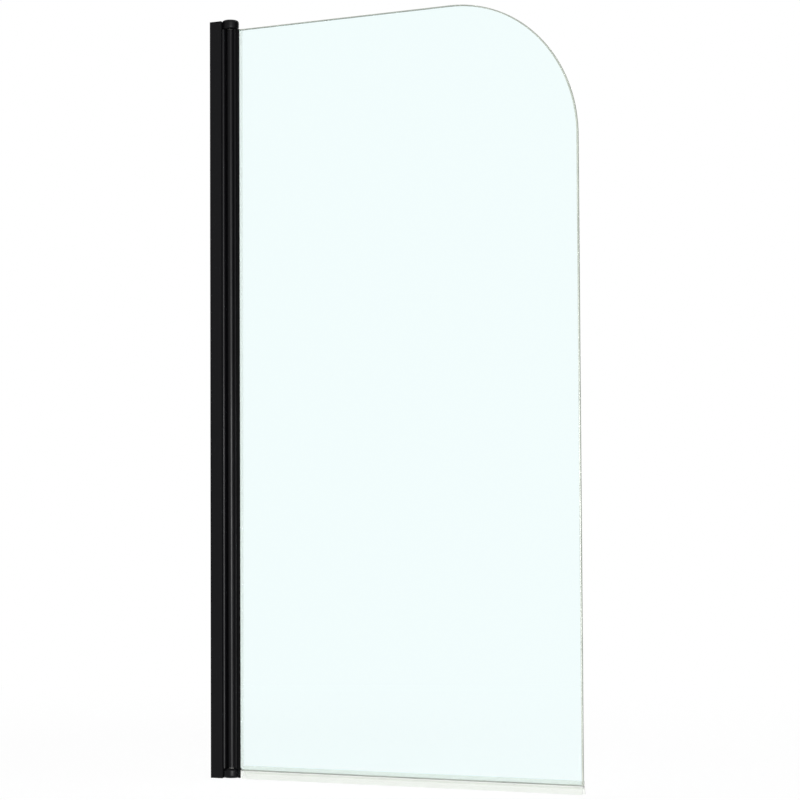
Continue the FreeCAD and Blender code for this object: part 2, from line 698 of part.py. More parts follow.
for item in doc.Objects:
    if "Invalid" in item.State or "Error" in item.State:
        raise RuntimeError(f"{item.Label} failed: {item.State}")
for name in NODES:
    shape = doc.getObject(name).Shape
    if shape.isNull() or not shape.isValid() or not shape.Solids:
        raise RuntimeError(f"{name} is not a valid solid")

os.makedirs("parts", exist_ok=True)
for name in NODES:
    shape = doc.getObject(name).Shape
    shape.exportStep(f"parts/{name}.step")
    box = shape.BoundBox
    print(f"{name}: {len(shape.Solids)} solid(s), {shape.Volume:.0f} mm3, "
          f"X {box.XMin:.1f} to {box.XMax:.1f}, Y {box.YMin:.1f} to {box.YMax:.1f}, "
          f"Z {box.ZMin:.1f} to {box.ZMax:.1f}")
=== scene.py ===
import json
import math

import bpy
from bpy.props import FloatProperty, FloatVectorProperty, IntProperty, PointerProperty
from mathutils import Matrix, Vector

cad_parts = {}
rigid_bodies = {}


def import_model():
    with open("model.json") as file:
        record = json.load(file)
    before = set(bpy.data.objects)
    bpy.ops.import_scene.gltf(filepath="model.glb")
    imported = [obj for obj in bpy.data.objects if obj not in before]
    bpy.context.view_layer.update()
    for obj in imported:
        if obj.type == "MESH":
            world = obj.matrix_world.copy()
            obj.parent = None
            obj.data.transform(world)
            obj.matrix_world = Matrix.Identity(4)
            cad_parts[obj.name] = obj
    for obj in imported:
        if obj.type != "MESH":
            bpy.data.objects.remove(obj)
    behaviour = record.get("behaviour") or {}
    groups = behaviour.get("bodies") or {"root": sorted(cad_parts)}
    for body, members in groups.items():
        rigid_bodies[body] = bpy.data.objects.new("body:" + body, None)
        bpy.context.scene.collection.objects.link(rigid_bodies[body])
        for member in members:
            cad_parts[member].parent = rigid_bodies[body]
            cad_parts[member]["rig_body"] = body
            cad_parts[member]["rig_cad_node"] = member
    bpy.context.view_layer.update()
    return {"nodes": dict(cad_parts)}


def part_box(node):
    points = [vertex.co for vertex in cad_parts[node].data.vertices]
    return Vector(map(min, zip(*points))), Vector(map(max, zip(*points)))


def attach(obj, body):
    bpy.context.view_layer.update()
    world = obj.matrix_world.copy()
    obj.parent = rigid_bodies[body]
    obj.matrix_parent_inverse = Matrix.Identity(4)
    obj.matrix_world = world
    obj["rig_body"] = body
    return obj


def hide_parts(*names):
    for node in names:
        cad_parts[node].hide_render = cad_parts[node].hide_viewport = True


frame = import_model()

bl_info = {
    "name": "Bath Screen Finish",
    "version": (1, 0, 0),
    "blender": (4, 5, 0),
    "location": "3D View > Sidebar > Bath Screen",
    "description": "Models the surfaces of a pivoting bath screen and lights it for a picture",
    "category": "Object",
}

MM = 0.001
X, Y, Z = range(3)
WHITE = (1.0, 1.0, 1.0, 1.0)
FACING = 0.5  # a face looks along an axis when its normal's part on that axis is larger
HOLE_SIDES = 48
SMOOTH_BELOW = math.radians(30)  # edges less sharp than this are shaded smooth
WAVE_REPEAT = math.tau / 20  # length after which a wave texture of scale 1 repeats


def srgb(code):
    """Linear colour of an sRGB hex value such as "1b1c1d"."""
    parts = [int(code[place:place + 2], 16) / 255 for place in (0, 2, 4)]
    return [part / 12.92 if part <= 0.04045 else ((part + 0.055) / 1.055) ** 2.4 for part in parts]


# ---------------------------------------------------------------- sizes, colours and stage

def length_property(name, description, millimetres):
    """A length that is never negative, given in millimetres and kept in metres."""
    return FloatProperty(name=name, description=description, default=millimetres * MM, min=0.0,
                         subtype="DISTANCE", unit="LENGTH", precision=5)


def stand_property(name, description, metres):
    """A place or distance on the stage, in metres."""
    return FloatProperty(name=name, description=description, default=metres,
                         subtype="DISTANCE", unit="LENGTH")


def angle_property(name, description, degrees):
    """An angle, given in degrees and kept in radians."""
    return FloatProperty(name=name, description=description, default=math.radians(degrees),
                         subtype="ANGLE", unit="ROTATION")


def colour_property(name, description, code):
    """A colour, given as an sRGB hex value and kept linear."""
    return FloatVectorProperty(name=name, description=description, default=srgb(code), size=3,
                               min=0.0, max=1.0, subtype="COLOR")


class BathScreenSizes(bpy.types.PropertyGroup):
    """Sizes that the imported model's boxes don't give."""
    extrusion_edge: length_property("Extrusion edges", "Radius the die leaves on an edge", 0.25)
    cap_edge: length_property("Cap edges", "Radius of the round edges of a pivot cap", 5)
    cap_tongue_width: length_property("Cap tongue", "Width of a cap's tongue in the channel", 26.4)
    cap_tongue_edge: length_property("Tongue edges", "Radius of the edges of a cap's tongue", 0.5)
    cap_leg_width: length_property("Cap legs", "Width of each leg inside the post", 4.5)
    cap_leg_inset: length_property("Leg inset", "Side of the channel to the outside of a leg", 4.3)
    cap_hole: length_property("Screw hole", "Clearance hole for a cap screw", 4.5)
    corner_radius: length_property("Glass corner", "Radius of the glass's free top corner", 250)
    corner_cut: length_property("Glass cut", "Corner cut off to pass the bottom cap", 12)
    polished_edge: length_property("Polished edge", "Radius of the glass's polished edges", 2.4)
    air_gap: length_property("Air gap", "Gap between the glass and the clear seals", 0.05)
    flap_thickness: length_property("Flap", "Thickness of the clear flap beside the hinge", 1)
    flap_tip: length_property("Flap tip", "Thickness that the clear flap tapers to", 0.25)
    bead_thickness: length_property("Bead", "Thickness of the black bead on the clear strip", 0.55)
    front_bead: length_property("Front bead", "Black bead outside the slot, in front", 6.9)
    back_bead: length_property("Back bead", "Black bead outside the slot, at the back", 1.3)
    clip_wall: length_property("Seal wall", "Wall of the bottom seal's clip", 1)
    clip_web: length_property("Seal web", "Web of the bottom seal under the glass", 1.4)
    blade_thickness: length_property("Seal blade", "Thickness of a blade at its root", 0.9)
    drip_rib: length_property("Drip rib", "Width of the rib between the blades", 1)
    drip_depth: length_property("Drip depth", "Depth of the rib between the blades", 3.5)
    soft_edge: length_property("Soft edges", "Radius of the edges of rubber and clear seals", 0.1)
    cover_edge: length_property("Cover edge", "Round edge of a screw cover", 1.2)
    cover_slip: length_property("Cover slip", "Gap between a cover and the screw head", 0.2)
    round_steps: IntProperty(name="Round steps", description="Sides of a turned piece", default=96,
                             min=24)


class BathScreenColours(bpy.types.PropertyGroup):
    """Colours of the finishes."""
    powder: colour_property("Powder coat", "Satin black coat on the aluminium", "08080a")
    nylon: colour_property("Nylon", "Moulded black caps and screw covers", "08080a")
    black_zinc: colour_property("Black screws", "Black passivated steel", "3a3a3d")
    stainless: colour_property("Stainless steel", "Pins and locking screws", "c6c7c9")
    acetal: colour_property("Acetal", "Bushes and setting blocks", "ecebe4")
    rubber: colour_property("Rubber", "Soft strips in the post", "1c1c1c")
    pvc: colour_property("Clear PVC", "Flexible clear strips beside the hinge", "fdfefc")
    seal_pvc: colour_property("Seal PVC", "Clear PVC of the bottom seal", "f8faf7")
    # The glass edge's two tones are painted shade and painted light, standing in for light that
    # reaches the edge through the sheet.
    glass_edge_painted_dark: colour_property("Edge, dark", "Darkest tone of the glass's edge", "7c837a")
    glass_edge_painted_pale: colour_property("Edge, pale", "Palest tone of the glass's edge", "bcc2b8")
    black_pvc: colour_property("Black PVC", "Beads of the glazing strips", "060607")


class BathScreenStage(bpy.types.PropertyGroup):
    """Light and camera. Angles are turned from the glass's own normal towards its free edge."""
    daylight: FloatProperty(name="Daylight", description="Level of the even light all round",
                            default=0.3, min=0.0, max=2.0)
    lamp_power: FloatProperty(name="Lamp", description="Power of the soft box", default=460.0,
                              min=0.0, subtype="POWER", unit="POWER")
    lamp_width: stand_property("Lamp width", "Width of the soft box", 2.0)
    lamp_depth: stand_property("Lamp depth", "Upright size of the soft box", 0.8)
    lamp_angle: angle_property("Lamp angle", "Where the soft box stands", 38)
    lamp_distance: stand_property("Lamp distance", "Pivot axis to the soft box", 6.5)
    lamp_height: stand_property("Lamp height", "Middle of the soft box above the floor", 0.5)
    lens: FloatProperty(name="Lens", description="Focal length of the camera in millimetres",
                        default=120.06, min=10.0)
    camera_place: FloatVectorProperty(name="Camera", description="Where the camera stands",
                                      default=(2.716, -4.147, 0.4464), size=3,
                                      subtype="TRANSLATION", unit="LENGTH")
    camera_yaw: angle_property("Yaw", "Turn of the camera towards the wall", 29.242)
    camera_pitch: angle_property("Pitch", "Upward tilt of the camera", 2.868)
    camera_roll: angle_property("Roll", "Turn of the camera about its own line of sight", -0.2823)


# ---------------------------------------------------------------- modelling helpers

def clear_selection():
    """Leaves edit mode and selects nothing."""
    if bpy.context.object and bpy.context.object.mode != "OBJECT":
        bpy.ops.object.mode_set(mode="OBJECT")
    bpy.ops.object.select_all(action="DESELECT")


def settle(name):
    """Names the active piece and moves its place, turn and scale into its mesh."""
    piece = bpy.context.active_object
    piece.name = name
    piece.data.name = name
    bpy.ops.object.transform_apply(location=True, rotation=True, scale=True)
    return piece


def add_block(name, low, high):
    """A block between two corners, the start of a cut or moulded strip."""
    clear_selection()
    low, high = Vector(low), Vector(high)
    bpy.ops.mesh.primitive_cube_add(size=1, location=(low + high) / 2, scale=high - low)
    return settle(name)


def add_round(name, centre, radius, low, high, sides, top_radius=None):
    """An upright round blank between two heights, tapered where the top radius differs."""
    clear_selection()
    top = radius if top_radius is None else top_radius
    bpy.ops.mesh.primitive_cone_add(vertices=sides, radius1=radius, radius2=top, depth=high - low,
                                    location=(centre[0], centre[1], (low + high) / 2))
    return settle(name)


def activate(piece):
    """Makes a piece the active one and the only one selected."""
    clear_selection()
    piece.select_set(True)
    bpy.context.view_layer.objects.active = piece


def select_faces(piece, wanted):
    """Leaves the piece in edit mode with only the faces selected that pass a test."""
    activate(piece)
    bpy.ops.object.mode_set(mode="EDIT")
    bpy.ops.mesh.select_mode(type="FACE")
    bpy.ops.mesh.select_all(action="DESELECT")
    bpy.ops.object.mode_set(mode="OBJECT")
    for face in piece.data.polygons:
        face.select = wanted(face.center, face.normal)
    bpy.ops.object.mode_set(mode="EDIT")


def select_edges(piece, wanted):
    """Leaves the piece in edit mode with only the edges selected whose ends both pass a test."""
    activate(piece)
    bpy.ops.object.mode_set(mode="EDIT")
    bpy.ops.mesh.select_mode(type="EDGE")
    bpy.ops.mesh.select_all(action="DESELECT")
    bpy.ops.object.mode_set(mode="OBJECT")
    points = piece.data.vertices
    for edge in piece.data.edges:
        edge.select = all(wanted(points[end].co) for end in edge.vertices)
    bpy.ops.object.mode_set(mode="EDIT")


def split_at(piece, axis, places):
    """Runs a line of edges round the piece at each place along an axis."""
    activate(piece)
    bpy.ops.object.mode_set(mode="EDIT")
    normal = [1.0 if number == axis else 0.0 for number in (X, Y, Z)]
    for place in places:
        bpy.ops.mesh.select_all(action="SELECT")
        bpy.ops.mesh.bisect(plane_co=[place * part for part in normal], plane_no=normal)
    bpy.ops.object.mode_set(mode="OBJECT")


def draw_out(step):
    """Extrudes the selected faces by one step."""
    bpy.ops.mesh.extrude_region_move(TRANSFORM_OT_translate={"value": step})


def bevel_selection(width, steps):
    """Rounds the selected edges, or cuts them off in one step, and leaves edit mode."""
    bpy.ops.mesh.bevel(offset=width, segments=steps, affect="EDGES")
    bpy.ops.object.mode_set(mode="OBJECT")


def combine(piece, other, operation):
    """Joins another solid to the piece or cuts it away, and deletes it."""
    activate(piece)
    bpy.ops.object.modifier_add(type="BOOLEAN")
    modifier = piece.modifiers[-1]
    modifier.operation = operation
    modifier.solver = "EXACT"
    modifier.object = other
    bpy.ops.object.modifier_apply(modifier=modifier.name)
    bpy.data.objects.remove(other)


def soften(piece, radius=0.0, steps=1, sharper_than=SMOOTH_BELOW):
    """Rounds every edge sharper than an angle, unless the radius is 0, and shades the piece smooth
    between them, with the large faces kept flat to their edges."""
    activate(piece)
    if radius > 0:
        bpy.ops.object.modifier_add(type="BEVEL")
        modifier = piece.modifiers[-1]
        modifier.width = radius
        modifier.segments = steps
        modifier.limit_method = "ANGLE"
        modifier.angle_limit = sharper_than
        bpy.ops.object.modifier_apply(modifier=modifier.name)
    bpy.ops.object.shade_smooth_by_angle(angle=sharper_than)
    bpy.ops.object.modifier_add(type="WEIGHTED_NORMAL")
    modifier = piece.modifiers[-1]
    modifier.weight = 95
    modifier.keep_sharp = True
    bpy.ops.object.modifier_apply(modifier=modifier.name)
    return piece


def copy_of(node, name):
    """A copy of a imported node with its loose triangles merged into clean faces."""
    activate(frame["nodes"][node])
    bpy.ops.object.duplicate()
    piece = bpy.context.active_object
    piece.name = name
    piece.data.name = name
    piece.parent = None
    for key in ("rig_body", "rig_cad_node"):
        del piece[key]
    same_corner, same_plane = 0.002 * MM, math.radians(0.5)
    bpy.ops.object.mode_set(mode="EDIT")
    bpy.ops.mesh.select_all(action="SELECT")
    bpy.ops.mesh.customdata_custom_splitnormals_clear()
    bpy.ops.mesh.remove_doubles(threshold=same_corner)
    bpy.ops.mesh.dissolve_limited(angle_limit=same_plane)
    bpy.ops.object.mode_set(mode="OBJECT")
    return piece


def fit(piece, node, material, body):
    """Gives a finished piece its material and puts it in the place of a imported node."""
    piece.data.materials.clear()
    piece.data.materials.append(material)
    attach(piece, body)
    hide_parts(node)


def repaint(node, material):
    """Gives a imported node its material."""
    frame["nodes"][node].material_slots[0].material = material


# ---------------------------------------------------------------- materials

def add_node(tree, kind, values=None, links=None, **settings):
    """Adds a node with its settings, the values of its inputs and the links into them."""
    made = tree.nodes.new(kind)
    for name, setting in settings.items():
        setattr(made, name, setting)
    for socket, number in (values or {}).items():
        made.inputs[socket].default_value = number
    for socket, output in (links or {}).items():
        tree.links.new(output, made.inputs[socket])
    return made


def new_material(name):
    """An empty material and its node tree."""
    material = bpy.data.materials.get(name) or bpy.data.materials.new(name)
    material.use_nodes = True
    material.node_tree.nodes.clear()
    return material, material.node_tree


def colours():
    return bpy.context.scene.bath_screen_colours


def solid(colour):
    """A colour property as the four numbers of a colour socket."""
    return (*colour, 1.0)


def die_lines(tree, along, apart, long):
    """Noise drawn out along one axis: the fine lines that a die leaves along a strip."""
    place = add_node(tree, "ShaderNodeTexCoord").outputs["Object"]
    spacing = [1 / apart] * 3
    spacing[along] = 1 / long
    stretch = add_node(tree, "ShaderNodeMapping", {"Scale": spacing}, {"Vector": place})
    return add_node(tree, "ShaderNodeTexNoise", {"Scale": 1.0, "Detail": 2.0},
                    {"Vector": stretch.outputs["Vector"]}).outputs["Fac"]


def powder_coat():
    """Satin polyester powder coat on extruded aluminium: near black, an even soft sheen, and the
    faint orange peel of cured powder, about 1.5 mm from crest to crest and a few microns high. Its
    specular level is low because the photo shows little gloss on it."""
    material, tree = new_material("satin_black_powder_coat")
    place = add_node(tree, "ShaderNodeTexCoord").outputs["Object"]
    peel = add_node(tree, "ShaderNodeTexNoise", {"Scale": 1 / (1.5 * MM), "Detail": 2.0},
                    {"Vector": place})
    cloud = add_node(tree, "ShaderNodeTexNoise", {"Scale": 1 / (90 * MM), "Detail": 3.0},
                     {"Vector": place})
    rough = add_node(tree, "ShaderNodeMapRange", {"From Min": 0.3, "From Max": 0.7,
                                                  "To Min": 0.3, "To Max": 0.38},
                     {"Value": cloud.outputs["Fac"]})
    bump = add_node(tree, "ShaderNodeBump", {"Strength": 0.2, "Distance": 0.02 * MM},
                    {"Height": peel.outputs["Fac"]})
    coat = add_node(tree, "ShaderNodeBsdfPrincipled", {
        "Base Color": solid(colours().powder), "IOR": 1.5, "Specular IOR Level": 0.115},
        {"Roughness": rough.outputs["Result"], "Normal": bump.outputs["Normal"]})
    add_node(tree, "ShaderNodeOutputMaterial", links={"Surface": coat.outputs["BSDF"]})
    return material


def moulded_nylon():
    """Injection-moulded glass-filled nylon: black, a little duller than the coat, with the fine
    spark grain of the mould, which is drawn as coarse as 0.4 mm."""
    material, tree = new_material("moulded_black_nylon")
    place = add_node(tree, "ShaderNodeTexCoord").outputs["Object"]
    grain = add_node(tree, "ShaderNodeTexNoise", {"Scale": 1 / (0.4 * MM), "Detail": 2.0},
                     {"Vector": place})
    bump = add_node(tree, "ShaderNodeBump", {"Strength": 0.15, "Distance": 0.02 * MM},
                    {"Height": grain.outputs["Fac"]})
    rough = add_node(tree, "ShaderNodeMapRange", {"To Min": 0.3, "To Max": 0.42},
                     {"Value": grain.outputs["Fac"]})
    body = add_node(tree, "ShaderNodeBsdfPrincipled", {
        "Base Color": solid(colours().nylon), "IOR": 1.53, "Specular IOR Level": 0.1},
        {"Roughness": rough.outputs["Result"], "Normal": bump.outputs["Normal"]})
    add_node(tree, "ShaderNodeOutputMaterial", links={"Surface": body.outputs["BSDF"]})
    return material


def black_screw():
    """Zinc-plated steel with a black passivation: dark metal with a cloudy sheen."""
    material, tree = new_material("black_passivated_steel")
    place = add_node(tree, "ShaderNodeTexCoord").outputs["Object"]
    cloud = add_node(tree, "ShaderNodeTexNoise", {"Scale": 1 / (2 * MM), "Detail": 4.0},
                     {"Vector": place})
    rough = add_node(tree, "ShaderNodeMapRange", {"To Min": 0.28, "To Max": 0.5},
                     {"Value": cloud.outputs["Fac"]})
    metal = add_node(tree, "ShaderNodeBsdfPrincipled", {
        "Base Color": solid(colours().black_zinc), "Metallic": 1.0},
        {"Roughness": rough.outputs["Result"]})
    add_node(tree, "ShaderNodeOutputMaterial", links={"Surface": metal.outputs["BSDF"]})
    return material


def turned_steel():
    """Turned stainless steel: bright, with the lathe's feed marks every 0.3 mm up the piece."""
    material, tree = new_material("turned_stainless_steel")
    place = add_node(tree, "ShaderNodeTexCoord").outputs["Object"]
    marks = add_node(tree, "ShaderNodeTexWave", {
        "Scale": WAVE_REPEAT / (0.3 * MM), "Distortion": 0.5}, {"Vector": place},
        bands_direction="Z")
    bump = add_node(tree, "ShaderNodeBump", {"Strength": 0.3, "Distance": 0.01 * MM},
                    {"Height": marks.outputs["Fac"]})
    metal = add_node(tree, "ShaderNodeBsdfPrincipled", {
        "Base Color": solid(colours().stainless), "Metallic": 1.0, "Roughness": 0.28,
        "Anisotropic": 0.4}, {"Normal": bump.outputs["Normal"]})
    add_node(tree, "ShaderNodeOutputMaterial", links={"Surface": metal.outputs["BSDF"]})
    return material


def white_acetal():
    """Machined natural acetal: waxy white that lets a little light in."""
    material, tree = new_material("natural_white_acetal")
    place = add_node(tree, "ShaderNodeTexCoord").outputs["Object"]
    cloud = add_node(tree, "ShaderNodeTexNoise", {"Scale": 1 / (3 * MM), "Detail": 2.0},
                     {"Vector": place})
    rough = add_node(tree, "ShaderNodeMapRange", {"To Min": 0.32, "To Max": 0.44},
                     {"Value": cloud.outputs["Fac"]})
    body = add_node(tree, "ShaderNodeBsdfPrincipled", {
        "Base Color": solid(colours().acetal), "IOR": 1.48, "Subsurface Weight": 0.15,
        "Subsurface Radius": (1.0, 0.9, 0.8), "Subsurface Scale": 1 * MM},
        {"Roughness": rough.outputs["Result"]})
    add_node(tree, "ShaderNodeOutputMaterial", links={"Surface": body.outputs["BSDF"]})
    return material


def soft_rubber():
    """Extruded soft rubber: dull black with fine lines drawn along its length by the die."""
    material, tree = new_material("extruded_black_rubber")
    bump = add_node(tree, "ShaderNodeBump", {"Strength": 0.3, "Distance": 0.03 * MM},
                    {"Height": die_lines(tree, Z, 0.4 * MM, 80 * MM)})
    body = add_node(tree, "ShaderNodeBsdfPrincipled", {
        "Base Color": solid(colours().rubber), "Roughness": 0.7, "IOR": 1.5},
        {"Normal": bump.outputs["Normal"]})
    add_node(tree, "ShaderNodeOutputMaterial", links={"Surface": body.outputs["BSDF"]})
    return material


def black_lip():
    """Flexible PVC with carbon black, drawn in one piece with the clear strip: deep matt black.
    Its specular level is low because the photo shows no gloss beside the lips."""
    material, tree = new_material("black_flexible_pvc")
    rough = add_node(tree, "ShaderNodeMapRange", {"To Min": 0.45, "To Max": 0.6},
                     {"Value": die_lines(tree, Z, 0.4 * MM, 80 * MM)})
    body = add_node(tree, "ShaderNodeBsdfPrincipled", {
        "Base Color": solid(colours().black_pvc), "IOR": 1.5, "Specular IOR Level": 0.08},
        {"Roughness": rough.outputs["Result"]})
    add_node(tree, "ShaderNodeOutputMaterial", links={"Surface": body.outputs["BSDF"]})
    return material


def toughened_glass():
    """6 mm toughened float glass: across the sheet only a pale blue-green cast, which deepens where
    one looks along it, and the slow roller wave that toughening leaves, about 300 mm long. Iron in
    the glass takes mostly red, and that gives the colour of the inside."""
    material, tree = new_material("toughened_float_glass")
    place = add_node(tree, "ShaderNodeTexCoord").outputs["Object"]
    wave = add_node(tree, "ShaderNodeTexWave", {
        "Scale": WAVE_REPEAT / (300 * MM), "Distortion": 1.0}, {"Vector": place},
        bands_direction="X", wave_profile="SIN")
    bump = add_node(tree, "ShaderNodeBump", {"Strength": 0.1, "Distance": 0.02 * MM},
                    {"Height": wave.outputs["Fac"]})
    sheet = add_node(tree, "ShaderNodeBsdfPrincipled", {
        "Base Color": WHITE, "Roughness": 0.0, "IOR": 1.52, "Transmission Weight": 1.0},
        {"Normal": bump.outputs["Normal"]})
    tint = add_node(tree, "ShaderNodeVolumeAbsorption", {"Color": (0.0, 0.88, 0.86, 1.0),
                                                         "Density": 18.0})
    add_node(tree, "ShaderNodeOutputMaterial", links={"Surface": sheet.outputs["BSDF"],
                                                      "Volume": tint.outputs["Volume"]})
    return material


def polished_edge():
    """The round polished edge of float glass, drawn opaque. Its dull grey-green is painted shade
    and light, standing in for the light that reaches it through the length of the sheet, paler and
    darker over about 60 mm."""
    material, tree = new_material("glass_edge_painted_shade")
    place = add_node(tree, "ShaderNodeTexCoord").outputs["Object"]
    cloud = add_node(tree, "ShaderNodeTexNoise", {"Scale": 1 / (60 * MM), "Detail": 3.0},
                     {"Vector": place})
    # Painted shade: noise mixes the dark and pale painted tones along the edge.
    shade = add_node(tree, "ShaderNodeMix", {"A": solid(colours().glass_edge_painted_dark),
                                             "B": solid(colours().glass_edge_painted_pale)},
                     {"Factor": cloud.outputs["Fac"]}, data_type="RGBA")
    edge = add_node(tree, "ShaderNodeBsdfPrincipled", {"Roughness": 0.25, "IOR": 1.52},
                    {"Base Color": shade.outputs["Result"]})
    add_node(tree, "ShaderNodeOutputMaterial", links={"Surface": edge.outputs["BSDF"]})
    return material


def clear_pvc(along, tint, clearness):
    """Flexible clear PVC: nearly water-clear but a touch milky, with faint lines drawn by the die
    along the strip. The axis that the strip runs along is given, because the lines follow it. The
    IOR is lower than the 1.53 of PVC, because the strips in the photo have no dark edges."""
    material, tree = new_material("clear_flexible_pvc_" + "xyz"[along])
    bump = add_node(tree, "ShaderNodeBump", {"Strength": 0.25, "Distance": 0.03 * MM},
                    {"Height": die_lines(tree, along, 0.7 * MM, 120 * MM)})
    strip = add_node(tree, "ShaderNodeBsdfPrincipled", {
        "Base Color": solid(tint), "Roughness": 0.0, "IOR": 1.35,
        "Transmission Weight": clearness}, {"Normal": bump.outputs["Normal"]})
    add_node(tree, "ShaderNodeOutputMaterial", links={"Surface": strip.outputs["BSDF"]})
    return material


# ---------------------------------------------------------------- operators

class BATHSCREEN_OT_extrusions(bpy.types.Operator):
    """Wall channel, post and hinge profile: extruded, soft-edged, powder-coated aluminium"""
    bl_idname = "bathscreen.extrusions"
    bl_label = "Black extrusions"

    def execute(self, context):
        sizes = context.scene.bath_screen_sizes
        coat = powder_coat()
        for node, name, body in (("wall_channel", "coated_wall_channel", "wall_post"),
                                 ("pivot_post", "coated_pivot_post", "wall_post"),
                                 ("hinge_profile", "coated_hinge_profile", "screen")):
            piece = soften(copy_of(node, name), sizes.extrusion_edge, steps=2)
            fit(piece, node, coat, body)
        return {"FINISHED"}


class BATHSCREEN_OT_pivot_caps(bpy.types.Operator):
    """Round nylon caps that hold the pins, each with a tongue in the channel and legs in the
    post"""
    bl_idname = "bathscreen.pivot_caps"
    bl_label = "Pivot caps"

    def execute(self, context):
        nylon = moulded_nylon()
        for end in ("bottom", "top"):
            fit(self.cap(context, end), f"{end}_pivot_cap", nylon, "wall_post")
        return {"FINISHED"}

    def cap(self, context, end):
        """The bottom or top cap: a disc, its tongue and legs, and the holes for pin and screw."""
        sizes = context.scene.bath_screen_sizes
        low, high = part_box(f"{end}_pivot_cap")
        pin_low, pin_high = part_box(f"{end}_pivot_pin")
        screw_low, screw_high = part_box(f"{end}_cap_screw")
        post_low, post_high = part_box("pivot_post")
        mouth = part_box("wall_channel")[1].x
        axis = (pin_low + pin_high) / 2
        screw = (screw_low + screw_high) / 2
        if end == "bottom":
            outer, inner, legs_end, tongue_end = low.z, post_low.z, high.z, low.z
            pin_end, outward = pin_low.z, -1
        else:
            outer, inner, legs_end, tongue_end = high.z, post_high.z, low.z, screw_high.z
            pin_end, outward = pin_high.z, 1
        disc = add_round(f"moulded_{end}_cap", axis, high.y, min(outer, inner), max(outer, inner),
                         sizes.round_steps)
        select_faces(disc, lambda centre, normal: abs(normal.z) > FACING)
        bevel_selection(sizes.cap_edge, steps=8)
        half = sizes.cap_tongue_width / 2
        tongue = add_block("tongue", (low.x, -half, min(tongue_end, inner)),
                           (mouth, half, max(tongue_end, inner)))
        combine(disc, soften(tongue, sizes.cap_tongue_edge, steps=3), "UNION")
        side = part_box("wall_channel")[1].y - sizes.cap_leg_inset
        leg_start, leg_end = post_low.x + 2 * MM, screw.x + 10.3 * MM
        heights = sorted((inner + outward * sizes.cap_edge / 2, legs_end))
        for sign in (-1, 1):
            span = sorted((sign * side, sign * (side - sizes.cap_leg_width)))
            leg = add_block("leg", (leg_start, span[0], heights[0]),
                            (leg_end, span[1], heights[1]))
            combine(disc, soften(leg, sizes.cap_tongue_edge, steps=2), "UNION")
        socket = add_round("socket", axis, (pin_high.x - pin_low.x) / 2,
                           *sorted((pin_end, legs_end)), HOLE_SIDES)
        combine(disc, socket, "DIFFERENCE")
        beyond = 4 * MM
        radius = sizes.cap_hole / 2
        hole = add_round("hole", screw, radius, min(outer, inner) - beyond,
                         max(outer, inner) + beyond, HOLE_SIDES)
        combine(disc, hole, "DIFFERENCE")
        head = (screw_high.x - screw_low.x) / 2
        depth = head - radius
        if end == "bottom":
            sink = add_round("sink", screw, head, tongue_end, tongue_end + depth, HOLE_SIDES,
                             top_radius=radius)
        else:
            sink = add_round("sink", screw, radius, tongue_end - depth, tongue_end, HOLE_SIDES,
                             top_radius=head)
        combine(disc, sink, "DIFFERENCE")
        return soften(disc)


class BATHSCREEN_OT_screw_covers(bpy.types.Operator):
    """Snap-on covers of the locking screws: low domes with a hollow for the screw head"""
    bl_idname = "bathscreen.screw_covers"
    bl_label = "Screw covers"
    count = 3

    def execute(self, context):
        sizes = context.scene.bath_screen_sizes
        sides = sizes.round_steps // 2
        low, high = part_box("lock_screw_covers")
        screws_low, screws_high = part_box("lock_screws")
        radius = (high.x - low.x) / 2
        head = (screws_high.x - screws_low.x) / 2
        middle = Vector(((low.x + high.x) / 2, 0, 0))
        cover = add_round("domed_screw_covers", middle, radius, 0, high.y - low.y, sides)
        select_faces(cover, lambda centre, normal: normal.z > FACING)
        bevel_selection(sizes.cover_edge, steps=6)
        below = -1 * MM
        hollow = add_round("hollow", middle, head + sizes.cover_slip, below,
                           screws_high.y - low.y + sizes.cover_slip, sides)
        combine(cover, hollow, "DIFFERENCE")
        activate(cover)
        bpy.ops.object.mode_set(mode="EDIT")
        bpy.ops.mesh.select_all(action="SELECT")
        bpy.ops.transform.rotate(value=math.radians(90), orient_axis="X",
                                 center_override=(0, 0, 0))
        bpy.ops.transform.translate(value=(0, low.y, low.z + radius))
        rise = (high.z - low.z - 2 * radius) / (self.count - 1)
        for _ in range(self.count - 1):
            bpy.ops.mesh.duplicate_move(TRANSFORM_OT_translate={"value": (0, 0, rise)})
        bpy.ops.object.mode_set(mode="OBJECT")
        fit(soften(cover), "lock_screw_covers", moulded_nylon(), "wall_post")
        return {"FINISHED"}


class BATHSCREEN_OT_fittings(bpy.types.Operator):
    """Finishes of the pins, bushes, screws and setting blocks"""
    bl_idname = "bathscreen.fittings"
    bl_label = "Fittings"

    def execute(self, context):
        steel, black, acetal = turned_steel(), black_screw(), white_acetal()
        for node in ("bottom_pivot_pin", "top_pivot_pin", "lock_screws"):
            repaint(node, steel)
        for node in ("bottom_cap_screw", "top_cap_screw"):
            repaint(node, black)
        for node in ("bottom_pivot_bush", "top_pivot_bush", "setting_blocks"):
            repaint(node, acetal)
        return {"FINISHED"}


class BATHSCREEN_OT_rubber_strips(bpy.types.Operator):
    """Soft strips in the post: two wipers against the channel and one behind the barrel"""
    bl_idname = "bathscreen.rubber_strips"
    bl_label = "Rubber strips"

    def execute(self, context):
        sizes = context.scene.bath_screen_sizes
        rubber = soft_rubber()
        edge = 4 * sizes.soft_edge
        for node in ("front_post_seal", "back_post_seal", "nose_seal"):
            low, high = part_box(node)
            strip = add_block(f"soft_{node}", low, high)
            fit(soften(strip, edge, steps=4), node, rubber, "wall_post")
        return {"FINISHED"}


